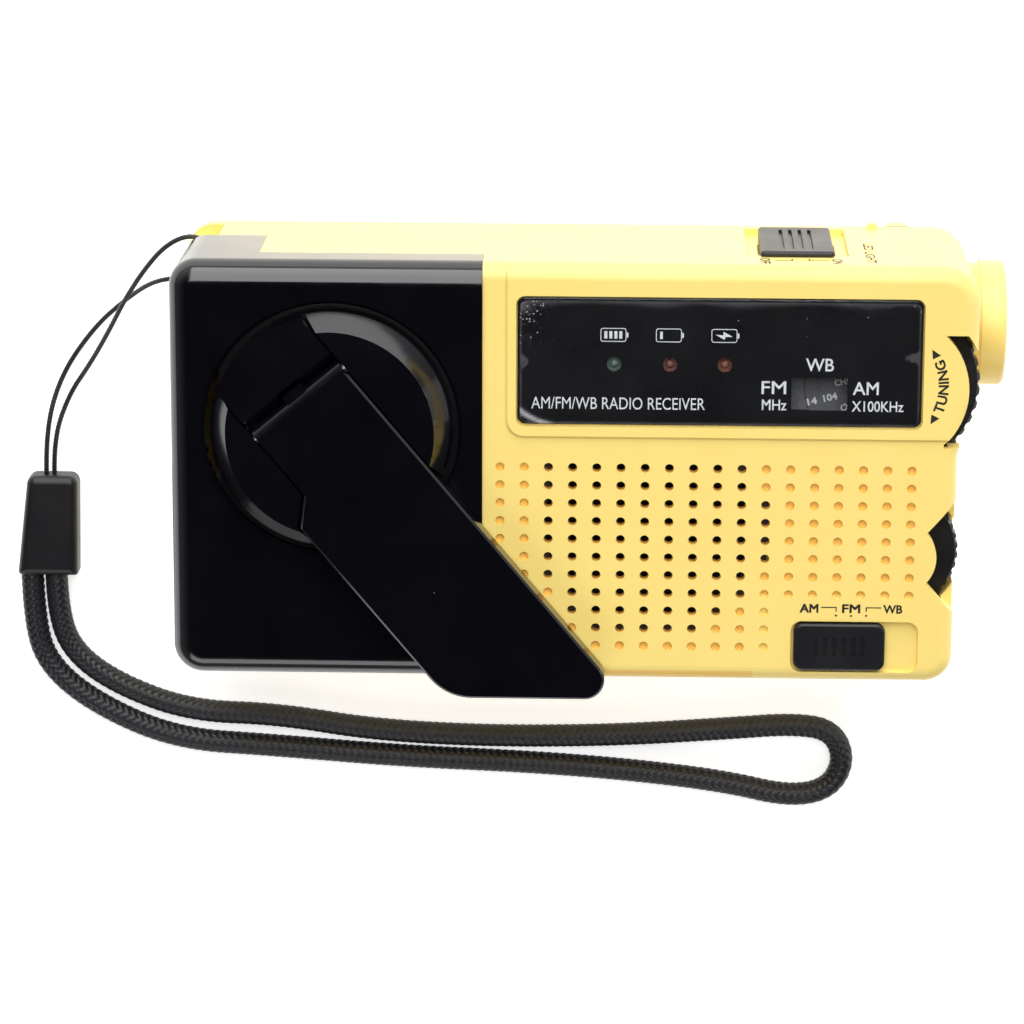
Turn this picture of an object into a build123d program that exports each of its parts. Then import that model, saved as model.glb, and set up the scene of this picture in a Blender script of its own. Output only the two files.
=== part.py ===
from build123d import *
from math import atan2, cos, pi, radians, sin, sqrt, tan
import os

# Hand-crank emergency radio lying on its back.
# +Z is the front face's normal, +X runs from the crank to the lamp, +Y is the power switch side.
# The origin is the centre of the back face.  Millimetres.

# ---- driving dimensions -------------------------------------------------------------------
LEFT, RIGHT, LAMP_SIDE = -65.1, 65.2, 68.2
BOTTOM, TOP = -36.0, 34.6
STEP_Y, STEP_RUN = 3.0, 9.0
CORNER_RADII = [5.0, 4.6, 6.0, 8.0, 6.0, 4.6]
DEPTH = 42.0
PARTING = 18.2
WALL = 2.0
FRONT_ROUND, BACK_ROUND = 2.6, 2.0
CRANK_EDGE = -13.3
CRANK_FRONT, CRANK_ROUND = 42.8, 3.8
CRANK_LAP = 33.4
CRANK_TAB = -50.6
GAP = 0.05

CRANK = (-38.2, 6.7)
CRANK_TURN = -50.0
DISC_R, DISC_HOLE_R, DISC_BEVEL = 20.0, 21.1, 2.8
DISC_BOTTOM, DISC_FLOOR, DISC_TOP = 39.5, 42.85, 46.9
ARM_BOTTOM, ARM_TOP = 43.2, 47.2
ARM_AXIS_U = -6.8
ARM_SLOT_GAP = 0.35
ARM_LUG_R = 3.2
HINGE_PIN_R = 0.9

GEAR_MODULE, GEAR_TEETH, PINION_TEETH, IDLER_TEETH = 0.7, 56, 14, 42
IDLER_BEARING, GENERATOR_BEARING = -72.0, 155.0

TUNING, TUNING_R, TUNING_SKIN_R = (54.1, 14.1), 14.8, 12.6
VOLUME, VOLUME_R, VOLUME_SKIN_R = (55.7, -14.4), 10.3, 6.4
WHEEL_BOTTOM, WHEEL_TOP = 33.0, 36.6
SCALLOPS = 37

LENS = (-7.5, 59.0, 7.7, 29.2)
LENS_FLOOR, LENS_TOP = 41.0, 42.6
PLATEAU_X, PLATEAU_Y, PLATEAU_TOP = -9.4, 5.6, 42.5
DIAL = (37.6, 46.8, 10.4, 15.9)
LED_SPOTS = [(8.4, 17.9), (17.6, 17.9), (26.6, 17.9)]

GRILLE_START, GRILLE_PITCH = (-10.3, 0.5), (4.0, 3.05)
GRILLE_COLUMNS, GRILLE_ROWS, SHORT_ROWS, SHORT_COLUMNS = 18, 11, 3, 12
HOLE_R, DIMPLE = 0.75, 0.7
SPEAKER, SPEAKER_R = (14.6, -9.6), 20.0

LAMP = (21.2, 20.0)
LAMP_TUBE_R, LAMP_HEAD_R, LAMP_BORE_R = 10.0, 10.45, 8.7
LAMP_BACK_X, LAMP_NECK_X, LAMP_FACE_X = 61.0, 69.4, 73.6

BAND_RECESS = (38.2, 59.4, -34.2, -25.4)
BAND_KNOB = (38.7, 53.9, -33.8, -25.7)
BAND_SLOT = (42.8, 52.0, -31.6, -27.9)
POWER_RECESS = (30.1, 47.0, 8.0, 32.6)
POWER_SLOT = (32.1, 45.0, 17.0, 27.0)
POWER_KNOB = (32.4, 44.5, 11.4, 34.0)
POWER_SINK = 1.1

ANTENNA_YZ, ANTENNA_TIP_X = (32.4, 2.6), 3.6
ANTENNA_PIVOT = (56.2, 32.2)
KNUCKLE_R, KNUCKLE_TOP, PIVOT_R = 3.2, 4.6, 1.05
RABBET_Y, RABBET_Z = 29.7, 4.9
TUBES = [(2.0, 12.0), (1.55, 11.0), (1.1, 10.0), (0.65, 9.0)]
TUBE_WALL = 0.4
ANTENNA_REST = (51.1, 52.8, 34.0, 35.4, 4.95, 7.5)

BAY = (-8.0, 51.0, -12.0)
DOOR_THICK, DOOR_GAP = 1.85, 0.15
CELL_R, CELL_X, CELL_YZ = 7.1, (-3.0, 47.0), (-23.5, 9.3)
CASE_SCREWS = [(-60.6, -30.6), (-60.6, 17.0), (60.2, -30.8), (31.5, 8.5), (-5.5, 6.5)]
JACK_YZ, JACK_R = (-4.0, 12.0), 1.75
USB_YZ = (-13.0, 11.7)

STRING_D, STRAP_D = 0.9, 4.1
CLIP_TOP_Y, CLIP_BOTTOM_Y, CLIP_THICK = -11.0, -29.0, 5.8
LANYARD_BLOCK = (-63.5, -57.0, 22.4, 32.9, 6.4, 18.1)
LANYARD_NOTCH = (-70.0, -58.8, 32.6, 40.0, 8.2, 19.0)
LANYARD_BORE, LANYARD_EXIT = (-62.9, -59.6, 24.0, 40.0, 11.0, 16.5), (-70.0, -59.6, 24.0, 28.5, 11.0, 16.5)
STRING_ROUTE = [
    (-89.9, -11.0, 2.9), (-89.9, -4.8, 2.9), (-87.3, 2.8, 1.3), (-83.3, 8.6, 2.6), (-79.6, 14.9, 6.4),
    (-75.9, 21.9, 10.6), (-72.1, 27.7, 13.4), (-68.4, 32.0, 14.9), (-64.5, 34.0, 15.4), (-61.5, 33.1, 15.2),
    (-61.2, 29.2, 14.6), (-62.6, 26.4, 14.1), (-67.0, 26.2, 13.4), (-71.3, 24.8, 10.4), (-75.9, 21.2, 5.6),
    (-82.4, 15.2, 1.5), (-88.7, 6.2, 0.8), (-91.3, -3.4, 2.9), (-91.3, -11.0, 2.9),
]
STRAP_ROUTE = [
    (-90.0, -29.0, 2.6), (-89.9, -37.2, 2.6), (-86.8, -44.4, 2.1), (-78.7, -50.0, 2.1), (-66.5, -54.4, 2.1),
    (-51.0, -54.8, 2.1), (-34.0, -57.5, 2.1), (-13.0, -58.4, 2.1), (9.5, -57.9, 2.1), (29.0, -56.4, 2.1),
    (40.5, -55.4, 2.1), (47.3, -56.5, 2.1), (49.6, -62.0, 2.1), (46.9, -67.4, 2.1), (39.8, -68.9, 2.1),
    (28.2, -66.2, 2.1), (10.5, -64.2, 2.1), (-8.0, -63.0, 2.1), (-29.0, -62.3, 2.1), (-52.0, -60.6, 2.1),
    (-69.4, -59.6, 2.1), (-83.7, -53.2, 2.1), (-92.0, -46.0, 2.1), (-94.1, -37.8, 2.6), (-94.2, -29.0, 2.6),
]


# ---- small helpers ------------------------------------------------------------------------
def box(x0, x1, y0, y1, z0, z1):
    return Pos((x0 + x1) / 2, (y0 + y1) / 2, (z0 + z1) / 2) * Box(x1 - x0, y1 - y0, z1 - z0)


def along_x(y, z, radius, x0, x1):
    return Pos((x0 + x1) / 2, y, z) * Rot(0, 90, 0) * Cylinder(radius, x1 - x0)


def along_y(x, z, radius, y0, y1):
    return Pos(x, (y0 + y1) / 2, z) * Rot(90, 0, 0) * Cylinder(radius, y1 - y0)


def along_z(x, y, radius, z0, z1):
    return Pos(x, y, (z0 + z1) / 2) * Cylinder(radius, z1 - z0)


def prism(points, radius, z0, z1):
    face = make_face(FilletPolyline(*points, radius=radius, close=True))
    return Pos(0, 0, z0) * extrude(face, z1 - z0)


def soft_box(x0, x1, y0, y1, z0, z1, radius):
    points = [(x0, y0), (x1, y0), (x1, y1), (x0, y1)]
    return prism(points, radius, z0, z1)


def polar(centre, radius, angle):
    return (centre[0] + radius * cos(radians(angle)), centre[1] + radius * sin(radians(angle)))


def one(shape):
    """The largest solid of a boolean result."""
    return max(shape.solids(), key=lambda solid: solid.volume)


def save(name, shape):
    shape.label = name
    export_step(shape, f"parts/{name}.step")


# ---- casing -------------------------------------------------------------------------------
def case_prism(inset, z0, z1):
    points = [
        (LEFT + inset, BOTTOM + inset), (RIGHT - inset, BOTTOM + inset),
        (RIGHT - inset, STEP_Y), (LAMP_SIDE - inset, STEP_Y + STEP_RUN),
        (LAMP_SIDE - inset, TOP - inset), (LEFT + inset, TOP - inset),
    ]
    radii = [radius - inset for radius in CORNER_RADII]
    radii[2] = CORNER_RADII[2] + inset
    return prism(points, radii, z0, z1)


def rounded_case(z0, z1, radius, end):
    """The casing's outline as a block, rounded at its front (end -1) or its back (end 0)."""
    block = case_prism(0, z0, z1)
    return fillet(block.edges().group_by(Axis.Z)[end], radius)


def crank_region(clearance):
    """Everything that belongs to the crank's cover, grown by a clearance."""
    reach = 100
    front = box(-reach, CRANK_EDGE + clearance, -reach, reach, CRANK_LAP - clearance, reach)
    tab = box(-reach, CRANK_TAB + clearance, -reach, reach, PARTING - clearance, reach)
    return front + tab


def wheel_cuts():
    """Chambers of both thumb wheels and the openings that show their rims."""
    tuning_room = along_z(*TUNING, TUNING_R + 0.6, WHEEL_BOTTOM - 0.5, WHEEL_TOP + 0.5)
    tuning_open = along_z(*TUNING, TUNING_R + 0.6, WHEEL_TOP, DEPTH + 2)
    tuning_open -= along_z(*TUNING, TUNING_SKIN_R, 0, DEPTH + 3)
    tuning_open &= box(62.8, 80, 4.2, 23.4, 0, DEPTH + 3)
    volume_room = along_z(*VOLUME, VOLUME_R + 0.6, WHEEL_BOTTOM - 0.5, WHEEL_TOP + 0.5)
    fan = [polar(VOLUME, 1, 0), polar(VOLUME, 25, -47), polar(VOLUME, 25, 47)]
    volume_open = prism(fan, 0, WHEEL_TOP, DEPTH + 2) - along_z(*VOLUME, VOLUME_SKIN_R, 0, DEPTH + 3)
    return tuning_room + tuning_open + volume_room + volume_open


def grille_holes():
    through = []
    blind = []
    for row in range(GRILLE_ROWS):
        columns = GRILLE_COLUMNS if row < GRILLE_ROWS - SHORT_ROWS else SHORT_COLUMNS
        for column in range(columns):
            x = GRILLE_START[0] + column * GRILLE_PITCH[0]
            y = GRILLE_START[1] - row * GRILLE_PITCH[1]
            if sqrt((x - SPEAKER[0]) ** 2 + (y - SPEAKER[1]) ** 2) < SPEAKER_R + 0.1:
                through.append(along_z(x, y, HOLE_R, DEPTH - WALL - 1, DEPTH + 1))
            else:
                blind.append(along_z(x, y, HOLE_R, DEPTH - DIMPLE, DEPTH + 1))
    return through + blind


def plateau():
    """The raised corner of the front that carries the display."""
    window = [(PLATEAU_X, PLATEAU_Y), (100, PLATEAU_Y), (100, 100), (PLATEAU_X, 100)]
    block = rounded_case(PARTING, PLATEAU_TOP, FRONT_ROUND, -1)
    block &= prism(window, [3.0, 0, 0, 0], DEPTH - 1, PLATEAU_TOP + 1)
    rim = block.edges().group_by(Axis.Z)[-1]
    free = [edge for edge in rim if edge.center().X < PLATEAU_X + 2 or edge.center().Y < PLATEAU_Y + 2]
    return chamfer(free, 0.3)


def power_cuts():
    x0, x1, z0, z1 = POWER_RECESS
    recess = box(x0, x1, TOP - POWER_SINK, TOP + 1, z0, z1)
    x0, x1, z0, z1 = POWER_SLOT
    return recess + box(x0, x1, TOP - 3, TOP, z0, z1)


def front_shell():
    shell = rounded_case(PARTING, DEPTH, FRONT_ROUND, -1) - case_prism(WALL, PARTING - 1, DEPTH - WALL)
    shell += plateau()
    for x, y in CASE_SCREWS[2:]:
        shell += along_z(x, y, 2.8, PARTING, DEPTH - WALL) - along_z(x, y, 1.2, PARTING - 1, 32)
    rim = along_z(*SPEAKER, SPEAKER_R + 1.4, 36.5, DEPTH - 1)
    rim -= along_z(*SPEAKER, SPEAKER_R + 0.2, 36, DEPTH - WALL)
    shell += rim & box(-13, 40, -34.5, 20, 0, 60)
    shell -= crank_region(GAP)
    x0, x1, y0, y1 = LENS
    shell -= soft_box(x0 - 0.2, x1 + 0.2, y0 - 0.2, y1 + 0.2, LENS_FLOOR, DEPTH + 1, 1.5)
    shell -= box(DIAL[0] - 1, DIAL[1] + 1, DIAL[2] - 1, DIAL[3] + 1, 38, 42)
    shell -= [along_z(x, y, 1.7, 38, 42) for x, y in LED_SPOTS]
    x0, x1, y0, y1 = BAND_RECESS
    shell -= soft_box(x0, x1, y0, y1, DEPTH - 1.0, DEPTH + 1, 1.8)
    shell -= box(*BAND_SLOT, 38, 42)
    shell -= power_cuts()
    shell -= along_x(*LAMP, LAMP_TUBE_R + 0.05, 60, 80)
    shell -= wheel_cuts()
    shell = one(shell)
    shell -= grille_holes()
    return one(shell)


def rear_shell():
    inner = case_prism(WALL, WALL, PARTING + 1)
    inner -= box(-100, 100, RABBET_Y - WALL, 100, -1, RABBET_Z + WALL)
    shell = rounded_case(0, PARTING, BACK_ROUND, 0) - inner
    shell += box(*LANYARD_BLOCK) + box(*ANTENNA_REST)
    for x, y in CASE_SCREWS:
        shell += along_z(x, y, 3.2, 1, PARTING - 0.1)
    shell += box(-9.5, -8.1, -34.5, -11, 1, 13)
    shell += box(51.1, 52.5, -34.5, -11, 1, 9)
    shell += box(-9.5, 52.5, -11.9, -10.5, 1, 9)
    shell -= box(-100, 100, RABBET_Y, 100, -1, RABBET_Z)
    shell -= along_z(*ANTENNA_PIVOT, KNUCKLE_R + 0.25, -1, RABBET_Z)
    shell -= along_z(*ANTENNA_PIVOT, PIVOT_R + 0.05, -1, 12)
    shell -= box(*LANYARD_NOTCH) + box(*LANYARD_BORE) + box(*LANYARD_EXIT)
    shell -= box(BAY[0], BAY[1], -40, BAY[2], -1, WALL)
    shell -= power_cuts()
    shell -= along_x(*LAMP, LAMP_TUBE_R + 0.05, 60, 80)
    shell -= along_x(*JACK_YZ, 3.0, 60, 70)
    shell -= box(60, 70, USB_YZ[0] - 3.9, USB_YZ[0] + 3.9, USB_YZ[1] - 1.5, USB_YZ[1] + 1.5)
    for x, y in CASE_SCREWS:
        shell -= along_z(x, y, 2.8, -1, 2.8) + along_z(x, y, 1.35, 0, 30)
    return one(shell)


def crank_housing():
    body = rounded_case(PARTING, CRANK_FRONT, CRANK_ROUND, -1) & crank_region(0)
    body -= case_prism(WALL, 0, CRANK_FRONT - WALL) & box(-100, CRANK_EDGE - WALL, -100, 100, 0, 100)
    for x, y in CASE_SCREWS[:2]:
        body += along_z(x, y, 3.0, PARTING + 0.1, CRANK_FRONT - 1) - along_z(x, y, 1.2, PARTING - 1, 34)
    body -= along_z(*CRANK, DISC_HOLE_R, 30, 60)
    body = one(body)
    lip = body.edges().filter_by(GeomType.CIRCLE)
    lip = lip.filter_by_position(Axis.Z, CRANK_FRONT - 0.01, CRANK_FRONT + 0.01)
    lip = [edge for edge in lip if abs(edge.radius - DISC_HOLE_R) < 0.01]
    return chamfer(lip, 0.5)


def battery_door():
    x0, x1, y1 = BAY
    opening = box(x0 + DOOR_GAP, x1 - DOOR_GAP, -40, y1 - DOOR_GAP, -1, DOOR_THICK)
    door = rounded_case(0, PARTING, BACK_ROUND, 0) & opening
    for step in range(4):
        door -= box(14, 29, -31.6 + 1.6 * step, -30.9 + 1.6 * step, -1, 0.4)
    return one(door)


def case_screws():
    screws = []
    for x, y in CASE_SCREWS:
        screw = along_z(x, y, 2.5, 1.0, 2.8) + along_z(x, y, 1.15, 2.8, 27)
        screw -= box(x - 1.5, x + 1.5, y - 0.35, y + 0.35, 0, 1.7)
        screw -= box(x - 0.35, x + 0.35, y - 1.5, y + 1.5, 0, 1.7)
        screws.append(screw)
    return Compound(children=[one(screw) for screw in screws])


# ---- display ------------------------------------------------------------------------------
def display_lens():
    x0, x1, y0, y1 = LENS
    lens = soft_box(x0, x1, y0, y1, LENS_FLOOR + 0.3, LENS_TOP, 1.3)
    return chamfer(lens.edges().group_by(Axis.Z)[-1], 0.2)


def display_mask():
    x0, x1, y0, y1 = LENS
    mask = soft_box(x0, x1, y0, y1, LENS_FLOOR, LENS_FLOOR + 0.25, 1.3)
    mask -= box(*DIAL, 40, 43)
    mask -= [along_z(x, y, 1.2, 40, 43) for x, y in LED_SPOTS]
    return one(mask)


def indicator_leds():
    leds = []
    for x, y in LED_SPOTS:
        leds.append(along_z(x, y, 1.5, 27.6, 40.2) + Pos(x, y, 40.2) * Sphere(0.7))
    return Compound(children=[one(led) for led in leds])


# ---- lamp ---------------------------------------------------------------------------------
def lamp_bezel():
    bezel = along_x(*LAMP, LAMP_TUBE_R, LAMP_BACK_X, LAMP_NECK_X)
    bezel += along_x(*LAMP, LAMP_HEAD_R, LAMP_NECK_X, LAMP_FACE_X)
    rim = bezel.edges().filter_by(GeomType.CIRCLE)
    rim = rim.filter_by_position(Axis.X, LAMP_FACE_X - 0.01, LAMP_FACE_X + 0.01)
    bezel = fillet(rim, 0.8)
    return bezel - along_x(*LAMP, LAMP_BORE_R, 60, LAMP_FACE_X + 1)


def lamp_lens():
    return along_x(*LAMP, LAMP_BORE_R - 0.05, LAMP_FACE_X - 1.9, LAMP_FACE_X - 0.7)


def lamp_reflector():
    front = LAMP_FACE_X - 2.0
    outside = [(63.0, 2.8), (65.5, 5.6), (69.0, 7.7), (front, 8.6)]
    inside = [(front, 8.2), (69.1, 7.2), (65.8, 5.1), (63.0, 2.3)]
    shell = revolve(make_face(Polyline(*outside, *inside, close=True)), Axis.X, 360)
    return Pos(0, *LAMP) * shell


def lamp_led():
    return along_x(*LAMP, 4.0, 61.4, 62.6) + along_x(*LAMP, 1.9, 62.6, 64.5) + Pos(64.5, *LAMP) * Sphere(1.9)


# ---- electronics --------------------------------------------------------------------------
def main_board():
    points = [
        (-11, 11.9), (37, 11.9), (37, -32.5), (62.3, -32.5),
        (62.3, 11.2), (60, 11.2), (60, 25.8), (-11, 25.8),
    ]
    board = prism(points, 1.0, 26.0, 27.5)
    board -= along_z(*CASE_SCREWS[2], 3.0, 20, 30)
    return one(board)


def board_chips():
    places = [(-2, 19, 9, 5), (12, 22.6, 6, 4), (33, 20, 8, 8), (44, -2, 7, 7), (48, -25, 6, 5)]
    chips = [one(box(x - w / 2, x + w / 2, y - h / 2, y + h / 2, 27.5, 29.2)) for x, y, w, h in places]
    chips += [one(along_z(x, y, 2.5, 27.5, 32.5)) for x, y in [(-7.5, 23), (22, 22.5), (41, -12)]]
    return Compound(children=chips)


def speaker_frame():
    ring = along_z(*SPEAKER, SPEAKER_R, 38.2, 39.9) - along_z(*SPEAKER, 17.5, 38, 40)
    cone = Pos(*SPEAKER, 34.6) * (Cone(10.5, 18.4, 7.2) - Cone(9.7, 17.6, 7.2))
    back = along_z(*SPEAKER, 10.4, 30.0, 31.1)
    return one(ring + cone + back)


def speaker_cone():
    cone = Pos(*SPEAKER, 35.6) * (Cone(4.0, 17.0, 4.6) - Pos(0, 0, 0.5) * Cone(4.0, 17.0, 4.6))
    return one(cone + Pos(*SPEAKER, 33.3) * Cylinder(4.6, 0.7) + Pos(*SPEAKER, 32.4) * Cylinder(3.5, 1.6))


def speaker_magnet():
    return along_z(*SPEAKER, 8.8, 25.0, 29.95)


def battery_cell():
    cell = along_x(*CELL_YZ, CELL_R, *CELL_X)
    return cell + along_x(*CELL_YZ, 2.6, CELL_X[1], CELL_X[1] + 1.0)


def battery_contacts():
    y, z = CELL_YZ
    plus = box(48.2, 48.7, y - 5, y + 5, z - 5, z + 5)
    minus = box(-8.0, -7.5, y - 5, y + 5, z - 5, z + 5)
    spring = [along_x(y, z, 4.2 - 0.9 * turn, -7.5 + 0.9 * turn, -6.6 + 0.9 * turn) for turn in range(4)]
    return Compound(children=[one(plus), one(minus + spring)])


def ferrite_rod():
    return along_x(26.8, 14.5, 3.9, -11, 25)


def aerial_coil():
    return along_x(26.8, 14.5, 4.9, 0, 14) - along_x(26.8, 14.5, 3.95, -1, 15)


def tuning_capacitor():
    x, y = TUNING
    return box(x - 7, x + 5.8, y - 7, y + 7, 27.5, 32.3) - along_z(x, y, 1.56, 28.5, 33)


def volume_pot():
    return along_z(*VOLUME, 6.4, 27.5, 32.3) - along_z(*VOLUME, 1.56, 28.5, 33)


def thumb_wheel(centre, radius, bite, offset):
    x, y = centre
    wheel = along_z(x, y, radius, WHEEL_BOTTOM, WHEEL_TOP)
    wheel = chamfer(wheel.edges().filter_by(GeomType.CIRCLE), 0.5)
    bites = []
    for step in range(SCALLOPS):
        px, py = polar(centre, radius + offset, 360 * step / SCALLOPS)
        bites.append(along_z(px, py, bite, WHEEL_BOTTOM - 1, WHEEL_TOP + 1))
    return one(wheel - bites + along_z(x, y, 1.5, 28.7, WHEEL_BOTTOM))


def band_switch_case():
    return box(40.5, 57.0, -32.6, -26.6, 34.0, 39.9) - box(42.5, 56, -31.2, -28.3, 36, 41)


def band_switch_knob():
    x0, x1, y0, y1 = BAND_KNOB
    knob = soft_box(x0, x1, y0, y1, DEPTH - 0.9, DEPTH + 0.6, 1.5)
    knob = fillet(knob.edges().group_by(Axis.Z)[-1], 0.5)
    for rib in range(6):
        rx = (x0 + x1) / 2 - 3.9 + 1.56 * rib
        knob -= box(rx - 0.3, rx + 0.3, y0 + 2.4, y1 - 2.4, DEPTH + 0.2, DEPTH + 1)
    return one(knob + box(43, 46.5, -30.9, -28.6, 37, DEPTH - 0.9))


def power_switch_case():
    x0, x1, z0, z1 = POWER_SLOT
    case = box(x0 - 1, x1 + 1, TOP - 7.7, TOP - WALL, z0 - 3, z1 + 3)
    return case - box(x0 + 0.6, x1 - 0.6, TOP - 4.5, TOP, z0 + 2, z1 - 2)


def power_switch_knob():
    x0, x1, z0, z1 = POWER_KNOB
    cap = box(x0, x1, TOP - 0.9, TOP + 1.0, z0, z1)
    cap = fillet(cap.edges().filter_by(Axis.Y) + cap.edges().group_by(Axis.Y)[-1], 0.5)
    cap -= box(x0 - 1, x1 + 1, TOP - 1, TOP + 0.15, POWER_RECESS[3] - 0.15, z1 + 1)
    middle = (x0 + x1) / 2
    for groove in range(4):
        gx = middle - 2.4 + 1.6 * groove
        cap -= box(gx - 0.3, gx + 0.3, TOP + 0.5, TOP + 2, z0 + 3, z1 - 2.4)
    return one(cap + box(middle - 1.8, middle + 1.8, TOP - 4, TOP - 0.9, 21, 23))


def earphone_jack():
    y, z = JACK_YZ
    body = box(51.5, RIGHT - WALL - 0.05, y - 3.2, y + 3.2, z - 3, z + 3) + along_x(y, z, 2.95, 60, RIGHT)
    return body - along_x(y, z, JACK_R, 53.0, RIGHT + 1)


def usb_socket():
    y, z = USB_YZ
    socket = box(57.5, RIGHT - 0.1, y - 3.7, y + 3.7, z - 1.3, z + 1.3)
    socket -= box(59.5, RIGHT + 1, y - 3.4, y + 3.4, z - 1.0, z + 1.0)
    return socket + box(59, RIGHT - 0.8, y - 2.4, y + 2.4, z - 0.3, z + 0.3)


# ---- crank and generator ------------------------------------------------------------------
def crank_point(u, v):
    """A point at u along the stowed arm and v across it, from the crank's axis."""
    a = radians(CRANK_TURN)
    return (CRANK[0] + u * cos(a) - v * sin(a), CRANK[1] + u * sin(a) + v * cos(a))


def at_crank(shape):
    return Pos(*CRANK, 0) * Rot(0, 0, CRANK_TURN) * shape


def arm_outline(grow):
    """Arm seen from the front, with its end cut parallel to the case's bottom edge."""
    tip_low = (44.7 - 0.643 * (14.0 + grow)) / 0.766
    tip_high = (44.7 + 0.643 * (9.0 + grow)) / 0.766
    return [
        (ARM_AXIS_U, 9.0 + grow), (ARM_AXIS_U, -9.7 - grow), (5.0 - grow, -9.7 - grow),
        (9.0 - grow, -14.0 - grow), (tip_low + grow, -14.0 - grow), (tip_high + grow, 9.0 + grow),
    ]


AXIS_Z = (ARM_BOTTOM + ARM_TOP) / 2
ARM_HALF = (ARM_TOP - ARM_BOTTOM) / 2


def across(u, z, radius, v0, v1):
    """A cylinder across the arm, in the crank's own axes."""
    return Pos(u, (v0 + v1) / 2, z) * Rot(90, 0, 0) * Cylinder(radius, v1 - v0)


def crank_disc():
    base = Pos(0, 0, (DISC_BOTTOM + DISC_FLOOR) / 2) * Cylinder(DISC_R, DISC_FLOOR - DISC_BOTTOM)
    height = DISC_TOP - DISC_FLOOR
    dome = Pos(0, 0, DISC_FLOOR + height / 2) * Cone(DISC_R, DISC_R - DISC_BEVEL, height)
    slot = prism(arm_outline(ARM_SLOT_GAP), [0, 0, 0, 0.8, 0, 0], DISC_FLOOR, 60)
    strip = box(-30, ARM_AXIS_U, -9.7 - ARM_SLOT_GAP, 9.0 + ARM_SLOT_GAP, DISC_FLOOR, 60)
    block = box(-30, ARM_AXIS_U - ARM_HALF - 0.35, -9.7, 9.0, DISC_FLOOR - 0.5, ARM_TOP)
    block &= Pos(0, 0, 45) * Cylinder(DISC_R, 20)
    wedge = Plane.XZ * make_face(Polyline((ARM_AXIS_U - 1.0, AXIS_Z), (ARM_AXIS_U - ARM_HALF - 0.4, AXIS_Z),
                                          (ARM_AXIS_U - ARM_HALF - 1.9, ARM_TOP + 0.1),
                                          (ARM_AXIS_U - 1.0, ARM_TOP + 0.1), close=True))
    disc = base + (dome - slot - strip) + (block - extrude(wedge, 30, both=True))
    disc -= across(ARM_AXIS_U, AXIS_Z, ARM_LUG_R + 1.0, -2.4, 2.2)
    disc -= across(ARM_AXIS_U, AXIS_Z, HINGE_PIN_R + 0.02, -12.6, 11.6)
    disc -= Pos(0, 0, 42) * Cylinder(2.9, 2.2)
    disc -= Pos(0, 0, 40) * Cylinder(1.4, 8)
    return at_crank(one(disc))


def crank_arm():
    arm = prism(arm_outline(0), [0, 0, 0, 0.8, 9.0, 3.3], ARM_BOTTOM, ARM_TOP)
    arm = one(arm)
    tip = arm.edges().group_by(Axis.Z)[-1].filter_by_position(Axis.X, 8, 90)
    arm = chamfer(tip, 0.35)
    arm += across(ARM_AXIS_U, AXIS_Z, ARM_HALF, -9.7, 9.0)
    lug = across(ARM_AXIS_U, AXIS_Z, ARM_LUG_R, -2.0, 1.8)
    arm += lug & box(-30, ARM_AXIS_U, -5, 5, AXIS_Z, ARM_TOP - 0.4)
    arm -= across(ARM_AXIS_U, AXIS_Z, HINGE_PIN_R + 0.05, -20, 20)
    return at_crank(one(arm))


def hinge_pin():
    return at_crank(across(ARM_AXIS_U, AXIS_Z, HINGE_PIN_R, -12.4, 11.4))


def crank_screw():
    screw = Pos(0, 0, 41.7) * Cylinder(2.7, 1.6) + Pos(0, 0, 36.5) * Cylinder(1.3, 9)
    screw -= box(-1.7, 1.7, -0.35, 0.35, 41.8, 43) + box(-0.35, 0.35, -1.7, 1.7, 41.8, 43)
    return at_crank(one(screw))


def crank_shaft():
    shaft = along_z(*CRANK, 3.0, 27.8, DISC_BOTTOM)
    return shaft - along_z(*CRANK, 1.35, 31.5, 60)


def involute(r, base_r):
    """Polar angle of an involute, unwound from the radius base_r, where it reaches the radius r."""
    unwound = sqrt((r / base_r) ** 2 - 1)
    return unwound - atan2(unwound, 1)


def tooth_outline(teeth, turn):
    """Outline of a spur gear with involute flanks, its first tooth at the angle turn."""
    pitch_r = GEAR_MODULE * teeth / 2
    base_r = pitch_r * cos(radians(20))
    root_r = pitch_r - 1.15 * GEAR_MODULE
    tip_r = pitch_r + 0.75 * GEAR_MODULE
    half = 0.9 * pi / (2 * teeth) + involute(pitch_r, base_r)
    low_r = max(root_r, base_r)
    flank = [(root_r, half - involute(low_r, base_r))] if root_r < base_r else []
    for step in range(4):
        r = low_r + (tip_r - low_r) * step / 3
        flank.append((r, half - involute(r, base_r)))
    points = []
    for tooth in range(teeth):
        middle = radians(turn) + 2 * pi * tooth / teeth
        points += [(r * cos(middle - a), r * sin(middle - a)) for r, a in flank]
        points += [(r * cos(middle + a), r * sin(middle + a)) for r, a in reversed(flank)]
    return points


def gear(centre, teeth, turn, z0, z1):
    face = make_face(Polyline(*tooth_outline(teeth, turn), close=True))
    return Pos(centre[0], centre[1], z0) * extrude(face, z1 - z0)


IDLER = polar(CRANK, GEAR_MODULE * (GEAR_TEETH + PINION_TEETH) / 2, IDLER_BEARING)
GENERATOR = polar(IDLER, GEAR_MODULE * (IDLER_TEETH + PINION_TEETH) / 2, GENERATOR_BEARING)
PINION_GAP = 360 / PINION_TEETH / 2


def crank_gear():
    """A tooth points at the idler."""
    wheel = gear(CRANK, GEAR_TEETH, IDLER_BEARING, 34.0, 37.0)
    wheel -= along_z(*CRANK, 3.02, 30, 40)
    for spoke in range(6):
        wheel -= along_z(*polar(CRANK, 11.5, 60 * spoke), 3.4, 30, 40)
    return wheel


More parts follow.
